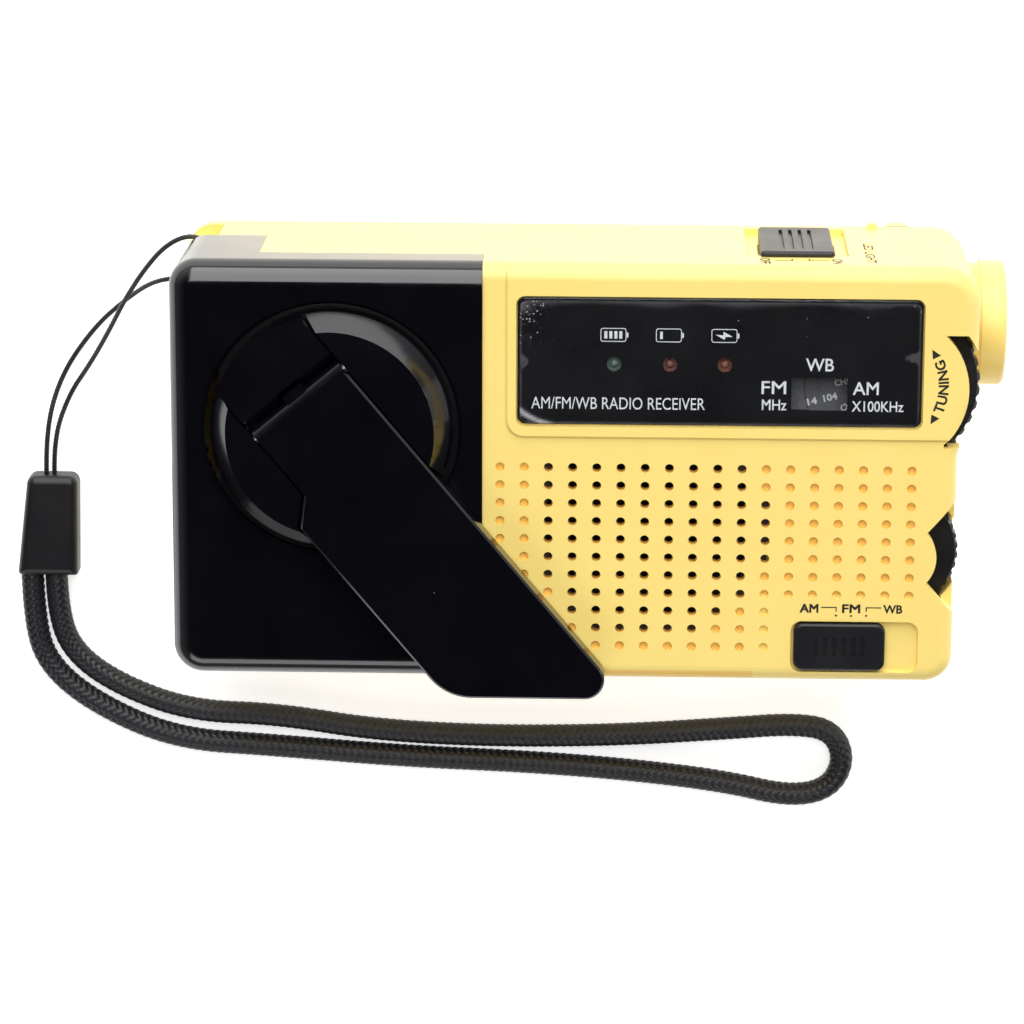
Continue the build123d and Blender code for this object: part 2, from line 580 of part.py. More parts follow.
def idler_gear():
    """The small pinion's gap faces the crank gear, and a tooth of the wheel faces the generator."""
    pinion = gear(IDLER, PINION_TEETH, IDLER_BEARING + 180 + PINION_GAP, 32.6, 36.9)
    wheel = gear(IDLER, IDLER_TEETH, GENERATOR_BEARING, 29.8, 32.6)
    return wheel + pinion - along_z(*IDLER, 1.56, 20, 40)


def generator_pinion():
    pinion = gear(GENERATOR, PINION_TEETH, GENERATOR_BEARING + 180 + PINION_GAP, 29.5, 33.2)
    return pinion - along_z(*GENERATOR, 1.01, 20, 40)


def generator_rotor():
    rotor = along_z(*GENERATOR, 1.0, 12.6, 33.2)
    core = along_z(*GENERATOR, 8.2, 15.0, 24.0)
    for pole in range(3):
        core -= along_z(*polar(GENERATOR, 7.6, 120 * pole), 1.9, 10, 30)
    return one(rotor + core)


def generator_can():
    can = along_z(*GENERATOR, 10.5, 11.5, 27.0) - along_z(*GENERATOR, 8.6, 12.9, 25.6)
    can += along_z(*GENERATOR, 3.0, 27.0, 28.2)
    return can - along_z(*GENERATOR, 1.08, 12.3, 40)


POSTS = [(-54.0, 26.0), (-19.5, 26.0), (-54.0, -30.3), (-18.7, -31.3)]


def gearbox_plate():
    plate = soft_box(-57.0, -16.4, -33.8, 29.0, 27.6, 29.0, 2.0)
    plate -= along_z(*CRANK, 3.06, 20, 40)
    plate -= along_z(*GENERATOR, 3.05, 20, 40)
    plate -= along_z(*IDLER, 1.52, 20, 40)
    for x, y in POSTS:
        plate += along_z(x, y, 2.2, 29.0, 37.6)
        plate -= along_z(x, y, 0.95, 32, 40)
    return one(plate)


def gearbox_cover():
    cover = soft_box(-57.0, -16.4, -33.8, 29.0, 37.65, 38.8, 2.0)
    cover -= along_z(*CRANK, 4.5, 30, 40)
    cover -= along_z(*IDLER, 1.52, 30, 40)
    for x, y in POSTS:
        cover -= along_z(x, y, 1.1, 30, 40)
    return one(cover)


def crank_bush():
    ring = along_z(*CRANK, 4.48, 37.4, 39.2) - along_z(*CRANK, 3.06, 30, 40)
    return ring


def idler_pin():
    return along_z(*IDLER, 1.5, 27.8, 38.7)


def gearbox_screws():
    screws = []
    for x, y in POSTS:
        screw = along_z(x, y, 1.9, 38.8, 40.1) + along_z(x, y, 0.9, 33, 38.8)
        screws.append(one(screw - box(x - 1.2, x + 1.2, y - 0.25, y + 0.25, 39.5, 41)))
    return Compound(children=screws)


# ---- antenna ------------------------------------------------------------------------------
def antenna_pivot():
    x, y = ANTENNA_PIVOT
    pin = along_z(x, y, PIVOT_R, 0.9, 9.0) + along_z(x, y, 1.9, 0.2, 0.9)
    return one(pin - box(x - 1.5, x + 1.5, y - 0.25, y + 0.25, 0, 0.55))


def antenna_base():
    radius, end_x = TUBES[0]
    knuckle = along_z(*ANTENNA_PIVOT, KNUCKLE_R, 0.95, KNUCKLE_TOP)
    tube = along_x(*ANTENNA_YZ, radius, end_x, ANTENNA_PIVOT[0] - 2.2)
    tube -= along_x(*ANTENNA_YZ, radius - TUBE_WALL, end_x - 1, 51.5)
    base = one(knuckle + tube)
    return base - along_z(*ANTENNA_PIVOT, PIVOT_R + 0.07, -1, 8)


def antenna_section(index):
    radius, end_x = TUBES[index]
    start_x = 51.0 - index
    tube = along_x(*ANTENNA_YZ, radius, end_x, start_x)
    if index < len(TUBES) - 1:
        return tube - along_x(*ANTENNA_YZ, radius - TUBE_WALL, end_x - 1, start_x + 1)
    cap = along_x(*ANTENNA_YZ, TUBES[0][0], ANTENNA_TIP_X, end_x + 0.4)
    return tube + fillet(cap.edges().filter_by(GeomType.CIRCLE), 0.6)


# ---- lanyard ------------------------------------------------------------------------------
def cord_tube(route, diameter):
    """Straight runs joined by arcs as large as the runs allow."""
    corners = []
    for before, here, after in zip(route, route[1:], route[2:]):
        first = Vector(*here) - Vector(*before)
        second = Vector(*after) - Vector(*here)
        half_turn = radians(first.get_angle(second)) / 2
        corners.append(0.45 * min(first.length, second.length) / tan(half_turn))
    path = FilletPolyline(*route, radius=corners)
    start = Plane(origin=path @ 0, z_dir=path % 0)
    tube = sweep(start * Circle(diameter / 2), path=path)
    ideal = pi * diameter ** 2 / 4 * path.length
    print(f"cord d={diameter}: length {path.length:.1f}, smallest radius {min(corners):.1f},"
          f" volume {tube.volume:.1f} of {ideal:.1f}")
    print("  radii", [round(corner, 1) for corner in corners])
    return tube


def strap_clip():
    top_x, top_half = -90.0, 4.4
    low_x, low_half = -91.2, 5.3
    points = [
        (low_x - low_half, CLIP_BOTTOM_Y), (low_x + low_half, CLIP_BOTTOM_Y),
        (top_x + top_half, CLIP_TOP_Y), (top_x - top_half, CLIP_TOP_Y),
    ]
    clip = one(prism(points, [0.6, 0.6, 1.6, 1.6], 0, CLIP_THICK))
    clip = fillet(clip.edges().group_by(Axis.Z)[-1] + clip.edges().group_by(Axis.Z)[0], 1.4)
    return clip


PARTS = {
    "front_shell": front_shell, "rear_shell": rear_shell, "crank_housing": crank_housing,
    "battery_door": battery_door, "case_screws": case_screws,
    "display_lens": display_lens, "display_mask": display_mask, "indicator_leds": indicator_leds,
    "lamp_bezel": lamp_bezel, "lamp_lens": lamp_lens, "lamp_reflector": lamp_reflector, "lamp_led": lamp_led,
    "main_board": main_board, "board_chips": board_chips,
    "speaker_frame": speaker_frame, "speaker_cone": speaker_cone, "speaker_magnet": speaker_magnet,
    "battery_cell": battery_cell, "battery_contacts": battery_contacts,
    "ferrite_rod": ferrite_rod, "aerial_coil": aerial_coil,
    "tuning_capacitor": tuning_capacitor, "volume_pot": volume_pot,
    "tuning_wheel": lambda: thumb_wheel(TUNING, TUNING_R, 0.9, 0.45),
    "volume_wheel": lambda: thumb_wheel(VOLUME, VOLUME_R, 0.62, 0.28),
    "band_switch_case": band_switch_case, "band_switch_knob": band_switch_knob,
    "power_switch_case": power_switch_case, "power_switch_knob": power_switch_knob,
    "earphone_jack": earphone_jack, "usb_socket": usb_socket,
    "crank_disc": crank_disc, "crank_arm": crank_arm, "hinge_pin": hinge_pin, "crank_screw": crank_screw,
    "crank_shaft": crank_shaft, "crank_gear": crank_gear, "idler_gear": idler_gear,
    "generator_pinion": generator_pinion, "generator_rotor": generator_rotor, "generator_can": generator_can,
    "gearbox_plate": gearbox_plate, "gearbox_cover": gearbox_cover, "crank_bush": crank_bush,
    "idler_pin": idler_pin, "gearbox_screws": gearbox_screws,
    "antenna_pivot": antenna_pivot, "antenna_base": antenna_base,
    "antenna_section_1": lambda: antenna_section(1), "antenna_section_2": lambda: antenna_section(2),
    "antenna_tip": lambda: antenna_section(3),
    "strap_clip": strap_clip,
    "strap_cord": lambda: cord_tube(STRAP_ROUTE, STRAP_D),
    "strap_string": lambda: cord_tube(STRING_ROUTE, STRING_D),
}

os.makedirs("parts", exist_ok=True)
for name, build in PARTS.items():
    save(name, build())
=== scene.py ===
"""The looks of the hand-crank emergency radio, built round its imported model."""
from math import cos, exp, hypot, pi, radians, sin, sqrt

import bmesh
import bpy
from mathutils import Matrix, Quaternion, Vector


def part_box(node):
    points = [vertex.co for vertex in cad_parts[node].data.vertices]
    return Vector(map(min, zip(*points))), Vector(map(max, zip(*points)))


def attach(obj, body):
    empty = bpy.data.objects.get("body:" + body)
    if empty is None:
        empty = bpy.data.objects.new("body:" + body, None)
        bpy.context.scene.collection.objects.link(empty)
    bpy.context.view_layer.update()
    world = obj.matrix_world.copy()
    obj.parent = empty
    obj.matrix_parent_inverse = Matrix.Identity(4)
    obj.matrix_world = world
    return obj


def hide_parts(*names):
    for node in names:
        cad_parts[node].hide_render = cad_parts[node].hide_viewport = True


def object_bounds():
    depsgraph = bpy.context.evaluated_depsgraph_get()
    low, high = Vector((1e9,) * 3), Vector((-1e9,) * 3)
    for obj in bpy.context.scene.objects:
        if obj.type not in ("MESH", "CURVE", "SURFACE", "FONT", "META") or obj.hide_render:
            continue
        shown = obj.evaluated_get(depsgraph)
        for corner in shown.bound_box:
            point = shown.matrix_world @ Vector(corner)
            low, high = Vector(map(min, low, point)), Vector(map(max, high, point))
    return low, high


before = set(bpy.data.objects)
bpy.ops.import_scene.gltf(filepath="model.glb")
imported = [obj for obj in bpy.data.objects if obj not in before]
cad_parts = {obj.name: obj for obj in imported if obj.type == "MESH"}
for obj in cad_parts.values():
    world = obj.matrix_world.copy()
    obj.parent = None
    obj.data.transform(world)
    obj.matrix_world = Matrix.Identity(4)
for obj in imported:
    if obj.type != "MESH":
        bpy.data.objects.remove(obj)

cad_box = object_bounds()
MM = 0.001


# ---- camera ---------------------------------------------------------------------------------
CAMERA_PLACE = Vector((14.2, 167.7, 733.1)) * MM
CAMERA_AIM = Vector((-8.3, -7.2, 42.0)) * MM
CAMERA_ROLL = radians(0.18)
CAMERA_LENS, CAMERA_SENSOR = 151.2, 36.0


def make_camera():
    """A long lens over the radio's front, tilted so that the top side shows."""
    camera = bpy.data.objects.new("camera", bpy.data.cameras.new("camera"))
    camera.data.lens = CAMERA_LENS
    camera.data.sensor_width = CAMERA_SENSOR
    camera.data.clip_start, camera.data.clip_end = 0.05, 30
    back = (CAMERA_PLACE - CAMERA_AIM).normalized()
    right = Vector((0, 1, 0)).cross(back).normalized()
    turn = Matrix((right, back.cross(right), back)).transposed().to_quaternion()
    camera.rotation_mode = "QUATERNION"
    camera.rotation_quaternion = turn @ Quaternion((0, 0, 1), CAMERA_ROLL)
    camera.location = CAMERA_PLACE
    bpy.context.scene.collection.objects.link(camera)
    bpy.context.scene.camera = camera


make_camera()


# ---- small helpers --------------------------------------------------------------------------
def add_piece(name, mesh, material, body, smooth=False):
    """A new piece from a mesh, with its finish, riding on a body."""
    piece = bpy.data.objects.new(name, mesh)
    bpy.context.scene.collection.objects.link(piece)
    mesh.materials.clear()
    mesh.materials.append(material)
    for face in mesh.polygons:
        face.use_smooth = smooth
        face.material_index = 0
    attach(piece, body)
    return piece


def as_mesh(form, name):
    """A bmesh turned into a mesh, with its normals outward."""
    bmesh.ops.recalc_face_normals(form, faces=form.faces)
    mesh = bpy.data.meshes.new(name)
    form.to_mesh(mesh)
    form.free()
    return mesh


def slab(form, outline, bottom, top, place=Matrix()):
    """Adds a flat slab to a bmesh: an outline in millimetres, from one height to another."""
    lower, upper = ([form.verts.new(place @ (Vector((x, y, z)) * MM)) for x, y in outline]
                    for z in (bottom, top))
    form.faces.new(list(reversed(lower)))
    form.faces.new(upper)
    for index in range(len(outline)):
        after = (index + 1) % len(outline)
        form.faces.new((lower[index], lower[after], upper[after], upper[index]))


def surface_below(node, x, y):
    """Height of a node's front surface at a point given in millimetres."""
    cad_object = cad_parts[node]
    to_local = cad_object.matrix_world.inverted()
    start = Vector((x * MM, y * MM, cad_box[1][2] + MM))
    hit, place, _, _ = cad_object.ray_cast(to_local @ start, to_local.to_3x3() @ Vector((0, 0, -1)))
    return (cad_object.matrix_world @ place).z if hit else start.z


# ---- materials ------------------------------------------------------------------------------
class Finish:
    """A procedural material: one Principled shader, and the textures that drive it."""

    def __init__(self, name, **sockets):
        self.material = bpy.data.materials.new(name)
        self.material.use_nodes = True
        self.tree = self.material.node_tree
        self.shader = self.tree.nodes["Principled BSDF"]
        for socket, value in sockets.items():
            self.shader.inputs[socket.replace("_", " ")].default_value = value
        self.place = self.node("ShaderNodeTexCoord").outputs["Object"]
        self.heights = []

    def node(self, kind, **settings):
        made = self.tree.nodes.new(kind)
        for key, value in settings.items():
            setattr(made, key, value)
        return made

    def link(self, source, target):
        if isinstance(source, (int, float)):
            target.default_value = source
        else:
            self.tree.links.new(source, target)

    def drive(self, socket, source):
        self.link(source, self.shader.inputs[socket])

    def math(self, operation, first, second=0.0):
        made = self.node("ShaderNodeMath", operation=operation)
        self.link(first, made.inputs[0])
        self.link(second, made.inputs[1])
        return made.outputs[0]

    def noise(self, grain, detail=3.0, stretch=(1, 1, 1)):
        """Cloudy noise whose spots are about grain millimetres across."""
        mapping = self.node("ShaderNodeMapping")
        mapping.inputs["Scale"].default_value = stretch
        self.tree.links.new(self.place, mapping.inputs["Vector"])
        made = self.node("ShaderNodeTexNoise")
        made.inputs["Scale"].default_value = 1 / (grain * MM)
        made.inputs["Detail"].default_value = detail
        self.tree.links.new(mapping.outputs["Vector"], made.inputs["Vector"])
        return made.outputs[0]

    def spread(self, value, low, high, start=0.0, end=1.0):
        """value from low..high taken to start..end, and held there outside."""
        made = self.node("ShaderNodeMapRange")
        self.tree.links.new(value, made.inputs["Value"])
        for socket, number in zip(("From Min", "From Max", "To Min", "To Max"), (low, high, start, end)):
            made.inputs[socket].default_value = number
        return made.outputs[0]

    def mix(self, factor, first, second):
        """A colour between two, which are colours or outputs."""
        made = self.node("ShaderNodeMix", data_type="RGBA")
        self.link(factor, made.inputs[0])
        for socket, colour in ((made.inputs[6], first), (made.inputs[7], second)):
            if isinstance(colour, tuple):
                socket.default_value = (*colour, 1)
            else:
                self.tree.links.new(colour, socket)
        return made.outputs[2]

    def specks(self, spacing, size, share):
        """Round specks of dust: one cell in share holds one, size is its part of the spacing."""
        made = self.node("ShaderNodeTexVoronoi")
        made.inputs["Scale"].default_value = 1 / (spacing * MM)
        self.tree.links.new(self.place, made.inputs["Vector"])
        near = self.math("LESS_THAN", made.outputs["Distance"], size)
        chance = self.node("ShaderNodeSeparateColor")
        self.tree.links.new(made.outputs["Color"], chance.inputs[0])
        return self.math("MULTIPLY", near, self.math("LESS_THAN", chance.outputs[0], share))

    def inside(self, low, high):
        """One inside a box given in millimetres, and zero outside it."""
        axes = self.node("ShaderNodeSeparateXYZ")
        self.tree.links.new(self.place, axes.inputs[0])
        share = 1.0
        for axis, start, end in zip(axes.outputs, low, high):
            share = self.math("MULTIPLY", share, self.math("GREATER_THAN", axis, start * MM))
            share = self.math("MULTIPLY", share, self.math("LESS_THAN", axis, end * MM))
        return share

    def relief(self, height, depth):
        """Adds a bump of depth millimetres."""
        bump = self.node("ShaderNodeBump")
        bump.inputs["Distance"].default_value = depth * MM
        bump.inputs["Strength"].default_value = 1.0
        self.link(height, bump.inputs["Height"])
        if self.heights:
            self.tree.links.new(self.heights[-1], bump.inputs["Normal"])
        self.heights.append(bump.outputs["Normal"])
        self.drive("Normal", bump.outputs["Normal"])


def moulded(name, colour, dark, roughness, grain=0.5, depth=0.008, dust=0.0, pit_shade=None, **sockets):
    """Injection-moulded plastic: faint mottling, uneven gloss, a fine grain and a little dust.

    The argument after dust holds painted shade for hollows: a deeper colour, and the corners of the boxes,
    in millimetres, where it is painted.
    """
    finish = Finish(name, **sockets)
    tone = finish.mix(finish.spread(finish.noise(14), 0.35, 0.65), dark, colour)
    gloss = finish.spread(finish.noise(9, 5), 0.3, 0.7, roughness - 0.035, roughness + 0.035)
    if dust:
        spots = finish.math("ADD", finish.specks(2.1, 0.055, dust), finish.specks(5.3, 0.03, dust * 3))
        tone = finish.mix(spots, tone, (0.32, 0.31, 0.33))
        gloss = finish.math("MAXIMUM", gloss, finish.math("MULTIPLY", spots, 0.8))
    # Painted shade: hollows inside the boxes take a deeper orange in place of the shade that falls in them.
    if pit_shade:
        painted_shade, *boxes = pit_shade
        for low, high in boxes:
            tone = finish.mix(finish.inside(low, high), tone, painted_shade)
    finish.drive("Base Color", tone)
    finish.drive("Roughness", gloss)
    finish.relief(finish.noise(grain, 2), depth)
    return finish.material


def metal(name, colour, roughness, stretch=(1, 1, 1), grain=0.4, depth=0.004):
    """Bare or plated metal, with fine drawn marks along one direction."""
    finish = Finish(name, Metallic=1.0)
    marks = finish.noise(grain, 4, stretch)
    shade = tuple(0.78 * part for part in colour)
    finish.drive("Base Color", finish.mix(finish.spread(finish.noise(6), 0.3, 0.7), shade, colour))
    finish.drive("Roughness", finish.spread(marks, 0.3, 0.7, roughness * 0.75, roughness * 1.3))
    finish.relief(marks, depth)
    return finish.material


def clear(name, tint, ior=1.45):
    """Clear plastic seen straight through, with the gloss of its surface and faint rub marks."""
    finish = Finish(name)
    tree = finish.tree
    through = finish.node("ShaderNodeBsdfTransparent")
    through.inputs["Color"].default_value = (*tint, 1)
    gloss = finish.node("ShaderNodeBsdfGlossy")
    finish.link(finish.spread(finish.noise(3, 4), 0.35, 0.7, 0.03, 0.09), gloss.inputs["Roughness"])
    edge = finish.node("ShaderNodeFresnel")
    edge.inputs["IOR"].default_value = ior
    inside = finish.node("ShaderNodeNewGeometry").outputs["Backfacing"]
    gleam = finish.math("MULTIPLY", edge.outputs[0], finish.math("SUBTRACT", 1.0, inside))
    bump = finish.node("ShaderNodeBump")
    bump.inputs["Distance"].default_value = 0.002 * MM
    tree.links.new(finish.noise(1.5, 3), bump.inputs["Height"])
    tree.links.new(bump.outputs["Normal"], gloss.inputs["Normal"])
    both = finish.node("ShaderNodeMixShader")
    tree.links.new(gleam, both.inputs[0])
    tree.links.new(through.outputs[0], both.inputs[1])
    tree.links.new(gloss.outputs[0], both.inputs[2])
    tree.links.new(both.outputs[0], tree.nodes["Material Output"].inputs["Surface"])
    tree.nodes.remove(finish.shader)
    return finish.material


def led_epoxy():
    """The three indicators are tinted grey-green, dark red and amber, from left to right."""
    finish = Finish("led_epoxy")
    lo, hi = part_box("indicator_leds")
    third = (hi.x - lo.x) / 3
    across = finish.node("ShaderNodeSeparateXYZ")
    finish.tree.links.new(finish.place, across.inputs[0])
    past_first = finish.math("GREATER_THAN", across.outputs[0], lo.x + third)
    past_second = finish.math("GREATER_THAN", across.outputs[0], lo.x + 2 * third)
    tone = finish.mix(past_first, (0.10, 0.17, 0.15), (0.20, 0.055, 0.05))
    tone = finish.mix(past_second, tone, (0.25, 0.07, 0.04))
    tone = finish.mix(finish.spread(finish.noise(0.6), 0.3, 0.7, 0, 0.35), tone, (0.30, 0.28, 0.26))
    finish.drive("Base Color", tone)
    finish.drive("Roughness", finish.spread(finish.noise(1), 0.3, 0.7, 0.25, 0.4))
    finish.relief(finish.noise(0.5), 0.01)
    return finish.material


def board_finish():
    """Solder-masked circuit board, with lighter copper runs under the mask."""
    finish = Finish("board")
    runs = finish.node("ShaderNodeTexVoronoi", distance="MANHATTAN", feature="DISTANCE_TO_EDGE")
    runs.inputs["Scale"].default_value = 1 / (2.6 * MM)
    finish.tree.links.new(finish.place, runs.inputs["Vector"])
    line = finish.math("LESS_THAN", runs.outputs[0], 0.08)
    finish.drive("Base Color", finish.mix(line, (0.01, 0.10, 0.045), (0.03, 0.22, 0.09)))
    finish.drive("Roughness", finish.spread(finish.noise(2), 0.3, 0.7, 0.25, 0.4))
    finish.relief(line, 0.03)
    return finish.material


def braid_finish(name):
    """Black nylon yarn: fine fibres along each strand, read from the braid's own map."""
    finish = Finish(name, Sheen_Weight=0.05, Sheen_Roughness=0.4, Specular_IOR_Level=0.6)
    yarn = finish.node("ShaderNodeUVMap", uv_map="yarn")
    fibres = finish.node("ShaderNodeTexNoise")
    stretch = finish.node("ShaderNodeMapping")
    stretch.inputs["Scale"].default_value = (14, 1.6, 1)
    finish.tree.links.new(yarn.outputs[0], stretch.inputs["Vector"])
    finish.tree.links.new(stretch.outputs[0], fibres.inputs["Vector"])
    fibres.inputs["Scale"].default_value = 1.0
    fibres.inputs["Detail"].default_value = 3
    bright = finish.spread(fibres.outputs[0], 0.35, 0.65)
    finish.drive("Base Color", finish.mix(bright, (0.003, 0.003, 0.0055), (0.009, 0.0095, 0.017)))
    finish.drive("Roughness", finish.spread(finish.noise(4), 0.3, 0.7, 0.30, 0.42))
    finish.relief(fibres.outputs[0], 0.05)
    return finish.material


YELLOW, YELLOW_DARK = (0.96, 0.74, 0.225), (0.95, 0.72, 0.21)
BLACK, BLACK_DARK = (0.0026, 0.0024, 0.0044), (0.0020, 0.0018, 0.0034)

# Painted shade in the grille's holes and dimples: a deeper orange inside a box above the band switch's
# level, and one left of the switch.
GRILLE_LEFT, GRILLE_RIGHT, GRILLE_TOP, GRILLE_BOTTOM = -13.0, 62.0, 4.6, -37.0
SWITCH_LEFT, SWITCH_TOP = 32.0, -21.0
skin = surface_below("front_shell", 20.0, 5.0) / MM
pit_floor, pit_rim = skin - 2.4, skin - 0.12
grille_pit_shade = ((0.94, 0.60, 0.13),
               ((GRILLE_LEFT, SWITCH_TOP, pit_floor), (GRILLE_RIGHT, GRILLE_TOP, pit_rim)),
               ((GRILLE_LEFT, GRILLE_BOTTOM, pit_floor), (SWITCH_LEFT, SWITCH_TOP, pit_rim)))

finishes = {
    "yellow_plastic": moulded("yellow_plastic", YELLOW, YELLOW_DARK, 0.36, 0.45, 0.006, pit_shade=grille_pit_shade),
    "black_plastic": moulded("black_plastic", BLACK, BLACK_DARK, 0.14, 0.8, 0.003, dust=0.025,
                             Specular_IOR_Level=0.8),
    "black_matte": moulded("black_matte", (0.0055, 0.0052, 0.0070), BLACK, 0.40, 0.35, 0.012, dust=0.01),
    "clear_plastic": clear("clear_plastic", (0.97, 0.98, 0.98)),
    "display_print": moulded("display_print", (0.0075, 0.007, 0.009), (0.006, 0.0055, 0.007), 0.30, 0.3,
                             0.003),
    "led_epoxy": led_epoxy(),
    "chrome": metal("chrome", (0.82, 0.82, 0.84), 0.11, (1, 8, 8), 1.0, 0.001),
    "steel": metal("steel", (0.56, 0.56, 0.57), 0.30),
    "brass": metal("brass", (0.74, 0.52, 0.20), 0.28),
    "board": board_finish(),
    "chip_epoxy": moulded("chip_epoxy", (0.02, 0.02, 0.022), (0.014, 0.014, 0.015), 0.55, 0.2, 0.01),
    "cone_paper": moulded("cone_paper", (0.018, 0.017, 0.016), (0.010, 0.010, 0.010), 0.8, 0.4, 0.05),
    "ferrite": moulded("ferrite", (0.06, 0.055, 0.055), (0.035, 0.03, 0.03), 0.6, 0.3, 0.02),
    "copper": metal("copper", (0.80, 0.36, 0.18), 0.3, (10, 1, 1), 0.4, 0.03),
    "nylon": moulded("nylon", (0.78, 0.76, 0.70), (0.72, 0.69, 0.62), 0.45, 0.4, 0.008),
    "cell_wrap": moulded("cell_wrap", (0.05, 0.16, 0.42), (0.04, 0.13, 0.36), 0.3, 0.6, 0.006),
    "mirror_coat": metal("mirror_coat", (0.9, 0.9, 0.9), 0.08, grain=0.8, depth=0.002),
    "braid": braid_finish("braid"),
}

for cad_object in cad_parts.values():
    for used in cad_object.material_slots:
        used.material = finishes[used.material.name.split(".")[0]]
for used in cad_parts["speaker_frame"].material_slots:
    used.material = moulded("painted_steel", (0.012, 0.012, 0.013), (0.008, 0.008, 0.009), 0.5)


# ---- wrist strap and its string -------------------------------------------------------------
STRING_D, STRAP_D = 0.9, 4.1
STRING_ROUTE = [
    (-89.9, -11.0, 2.9), (-89.9, -4.8, 2.9), (-87.3, 2.8, 1.3), (-83.3, 8.6, 2.6), (-79.6, 14.9, 6.4),
    (-75.9, 21.9, 10.6), (-72.1, 27.7, 13.4), (-68.4, 32.0, 14.9), (-64.5, 34.0, 15.4), (-61.5, 33.1, 15.2),
    (-61.2, 29.2, 14.6), (-62.6, 26.4, 14.1), (-67.0, 26.2, 13.4), (-71.3, 24.8, 10.4), (-75.9, 21.2, 5.6),
    (-82.4, 15.2, 1.5), (-88.7, 6.2, 0.8), (-91.3, -3.4, 2.9), (-91.3, -11.0, 2.9),
]
STRAP_ROUTE = [
    (-90.0, -29.0, 2.6), (-89.9, -37.2, 2.6), (-86.8, -44.4, 2.1), (-78.7, -50.0, 2.1), (-66.5, -54.4, 2.1),
    (-51.0, -54.8, 2.1), (-34.0, -57.5, 2.1), (-13.0, -58.4, 2.1), (9.5, -57.9, 2.1), (29.0, -56.4, 2.1),
    (40.5, -55.4, 2.1), (47.3, -56.5, 2.1), (49.6, -62.0, 2.1), (46.9, -67.4, 2.1), (39.8, -68.9, 2.1),
    (28.2, -66.2, 2.1), (10.5, -64.2, 2.1), (-8.0, -63.0, 2.1), (-29.0, -62.3, 2.1), (-52.0, -60.6, 2.1),
    (-69.4, -59.6, 2.1), (-83.7, -53.2, 2.1), (-92.0, -46.0, 2.1), (-94.1, -37.8, 2.6), (-94.2, -29.0, 2.6),
]


def smooth_line(name, route):
    """Points along the route's NURBS spline, in metres."""
    curve = bpy.data.curves.new(name, "CURVE")
    curve.dimensions = "3D"
    spline = curve.splines.new("NURBS")
    spline.points.add(len(route) - 1)
    for point, (x, y, z) in zip(spline.points, route):
        point.co = (x * MM, y * MM, z * MM, 1)
    spline.order_u = 3
    spline.use_endpoint_u = True
    spline.resolution_u = 40
    holder = bpy.data.objects.new(name, curve)
    mesh = bpy.data.meshes.new_from_object(holder)
    points = [vertex.co.copy() for vertex in mesh.vertices]
    bpy.data.objects.remove(holder)
    bpy.data.meshes.remove(mesh)
    return points


def even_points(points, count):
    """count + 1 points at even distances along a line."""
    marks = [0.0]
    for before, here in zip(points, points[1:]):
        marks.append(marks[-1] + (here - before).length)
    even = []
    at = 0
    for step in range(count + 1):
        wanted = marks[-1] * step / count
        while at < len(marks) - 2 and marks[at + 1] < wanted:
            at += 1
        share = (wanted - marks[at]) / (marks[at + 1] - marks[at])
        even.append(points[at].lerp(points[at + 1], share))
    return even, marks[-1]


def carried_frames(points):
    """Two directions square to the line at each point, carried along it without twisting."""
    side = Vector((0, 0, 1))
    frames = []
    for index in range(len(points)):
        ahead = points[min(index + 1, len(points) - 1)] - points[max(index - 1, 0)]
        ahead.normalize()
        side = (side - ahead * side.dot(ahead)).normalized()
        frames.append((side, ahead.cross(side)))
    return frames


def braid_height(row, column, cells):
    """How high the yarn stands at a grid point, from 0 to 1, and where that is on its strand.

    Strands wind both ways, each over two and under two of the others.
    """
    first, second = (column + row) / cells, (column - row) / cells
    order = (int(first // 1) + int(second // 1)) % 4
    across, along = (first % 1, (order % 2 + second % 1) / 2)
    if order >= 2:
        across, along = (second % 1, (order % 2 + first % 1) / 2)
    crown = sqrt(max(0.0, 1 - (2 * across - 1) ** 2))
    arch = sqrt(max(0.0, sin(pi * along)))
    return crown * (0.45 + 0.55 * arch), across, along


def braided_cord(name, route, diameter, strands, cells, depth):
    """A round braid along the route; strands wind each way, and each is cells grid steps wide."""
    line = smooth_line(name, route)
    around = strands * cells
    step = pi * diameter * MM / around
    length = sum((b - a).length for a, b in zip(line, line[1:]))
    rows = round(length / step)
    points, length = even_points(line, rows)
    frames = carried_frames(points)
    form = bmesh.new()
    yarn = form.loops.layers.uv.new("yarn")
    rings = []
    for row, (point, (up, out)) in enumerate(zip(points, frames)):
        ring = []
        for column in range(around):
            height = braid_height(row, column, cells)[0]
            radius = (diameter / 2 - depth * (1 - height)) * MM
            turn = 2 * pi * column / around
            ring.append(form.verts.new(point + up * (radius * cos(turn)) + out * (radius * sin(turn))))
        rings.append(ring)
    for row in range(rows):
        for column in range(around):
            after = (column + 1) % around
            face = form.faces.new((rings[row][column], rings[row][after],
                                   rings[row + 1][after], rings[row + 1][column]))
            _, across, along = braid_height(row + 0.5, column + 0.5, cells)
            for loop, (a, b) in zip(face.loops, ((0, 0), (1, 0), (1, 1), (0, 1))):
                loop[yarn].uv = (across + a / cells, along + b / cells)
    form.faces.new(rings[0])
    form.faces.new(rings[-1])
    print(f"{name}: {length / MM:.1f} mm, {len(form.faces)} faces")
    return as_mesh(form, name), points[::4] + [points[-1]]


def add_cord(name, node, route, diameter, strands, cells, depth):
    """A braided cord that stands for a CAD node, and hides that node."""
    mesh, path = braided_cord(name, route, diameter, strands, cells, depth)
    cord = add_piece(name, mesh, finishes["braid"], "root", smooth=True)
    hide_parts(node)


add_cord("wrist_strap", "strap_cord", STRAP_ROUTE, STRAP_D, 10, 4, 0.36)
add_cord("strap_loop", "strap_string", STRING_ROUTE, STRING_D, 4, 4, 0.09)


# ---- printing -------------------------------------------------------------------------------
INK = 0.02 * MM


